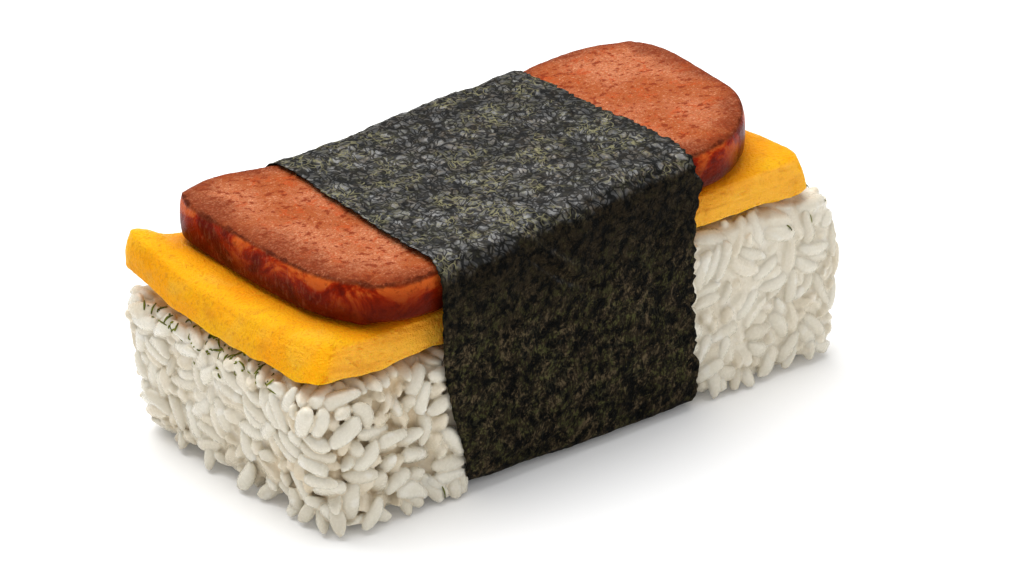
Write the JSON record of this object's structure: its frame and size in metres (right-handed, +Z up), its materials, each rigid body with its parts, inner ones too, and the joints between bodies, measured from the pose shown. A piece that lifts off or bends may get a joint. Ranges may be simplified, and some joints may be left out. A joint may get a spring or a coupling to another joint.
{
  "type": "luncheon meat musubi",
  "caption": "Pressed rice block topped with folded omelette and seared luncheon meat, wrapped across the middle by a wide nori band.",
  "frame": {"origin": "middle of the underside of the whole stack", "axes": "+Z up; +X along the block towards its higher end; +Y away from the front"},
  "size_m": [0.1172, 0.0576, 0.0474],
  "materials": {
    "rice": null,
    "egg": null,
    "meat": null,
    "nori": "toasted seaweed sheet, near-black green with a satin sheen",
    "herb": "dried green herb flakes"
  },
  "bodies": {
    "root": {"rice": "rice", "egg": "egg", "meat": "meat", "nori": "nori"}
  },
  "joints": []
}
